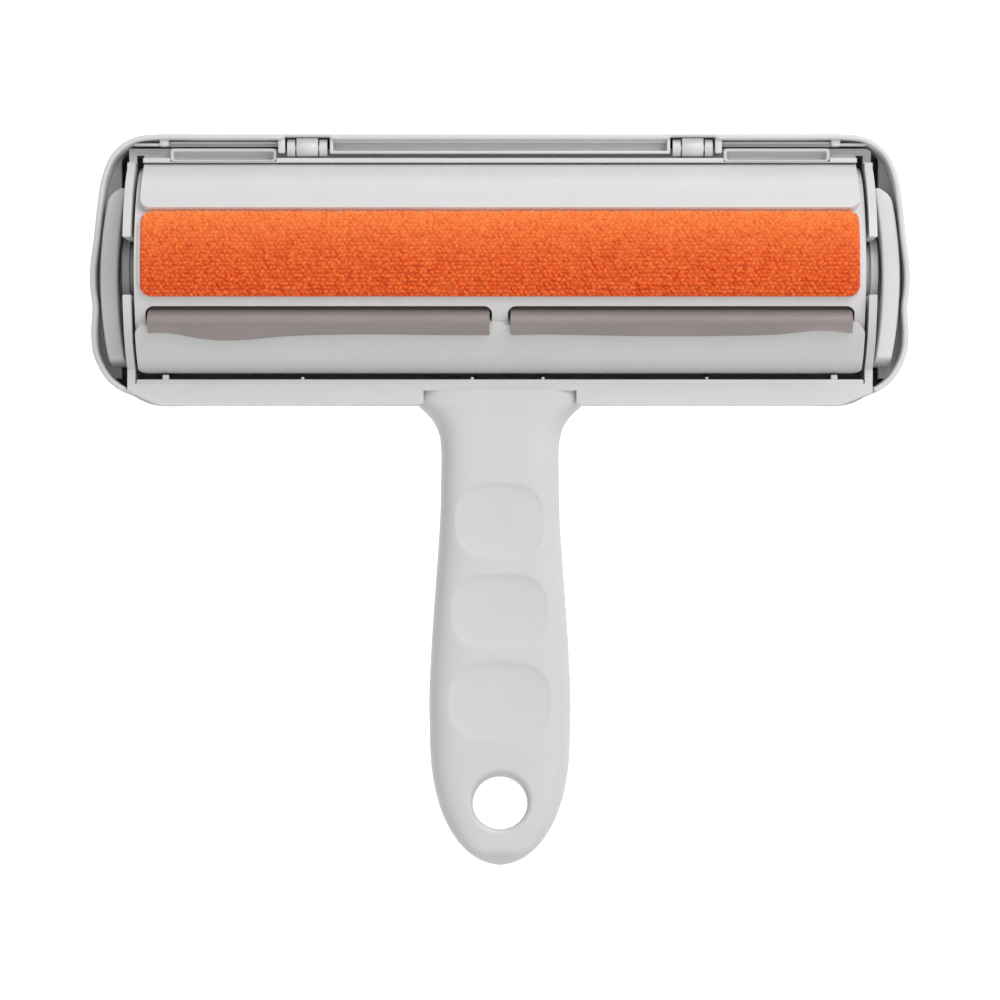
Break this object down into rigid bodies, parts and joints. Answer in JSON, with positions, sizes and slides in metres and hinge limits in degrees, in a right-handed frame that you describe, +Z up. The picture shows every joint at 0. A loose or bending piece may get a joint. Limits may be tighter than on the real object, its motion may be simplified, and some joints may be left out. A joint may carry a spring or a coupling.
{
  "type": "pet hair removal brush",
  "caption": "Hand brush with a rocking bristle roller in a wide frame, rubber wipers, a hinged bin cover behind and a straight handle with finger dimples and a hanging hole.",
  "frame": {"origin": "on the surface it lies on, straight below the middle of the roller's axis", "axes": "+X along the roller, +Y away from the handle, +Z up out of the roller's working side"},
  "size_m": [0.1888, 0.1686, 0.0502],
  "materials": {
    "frame_plastic": "satin moulded, very light grey",
    "cover_plastic": "satin moulded, very light grey",
    "roller_plastic": "smooth satin, very light grey",
    "orange_fabric": "short dense bristle pile in staggered rows",
    "backing": "thin woven backing",
    "wiper_rubber": "soft translucent grey-brown rubber",
    "steel": "drawn wire and rod",
    "bearing_plastic": "self-lubricating plastic",
    "strip_plush": "short dark plush"
  },
  "bodies": {
    "frame": {"roller_frame": "frame_plastic", "left_bearing": "bearing_plastic", "right_bearing": "bearing_plastic", "handle_front_shell": "frame_plastic", "handle_back_shell": "frame_plastic", "handle_screws": "steel", "hinge_pins": "steel", "button_spring": "steel", "catch_strip": "strip_plush"},
    "roller": {"roller_body": "roller_plastic", "far_roller_bar": "roller_plastic", "near_roller_bar": "roller_plastic", "fabric_backing": "backing", "bristle_fabric": "orange_fabric", "left_wiper": "wiper_rubber", "right_wiper": "wiper_rubber", "wiper_clamps": "roller_plastic", "roller_shaft": "steel"},
    "cover": {"bin_cover": "cover_plastic"},
    "button": {"release_button": "cover_plastic"}
  },
  "joints": [
    {"name": "roller_rock", "type": "hinge", "parent": "frame", "child": "roller", "pos_m": [0, 0, 0.024], "axis": [1, 0, 0], "range_deg": [-20, 30]},
    {"name": "cover_hinge", "type": "hinge", "parent": "frame", "child": "cover", "pos_m": [0, 0.028, 0.033], "axis": [1, 0, 0], "range_deg": [0, 90]},
    {"name": "button_press", "type": "slide", "parent": "frame", "child": "button", "axis": [0, 0, 1], "range_m": [0, 0.002], "stiffness_N_per_m": 300, "deforming": ["button_spring"]}
  ]
}
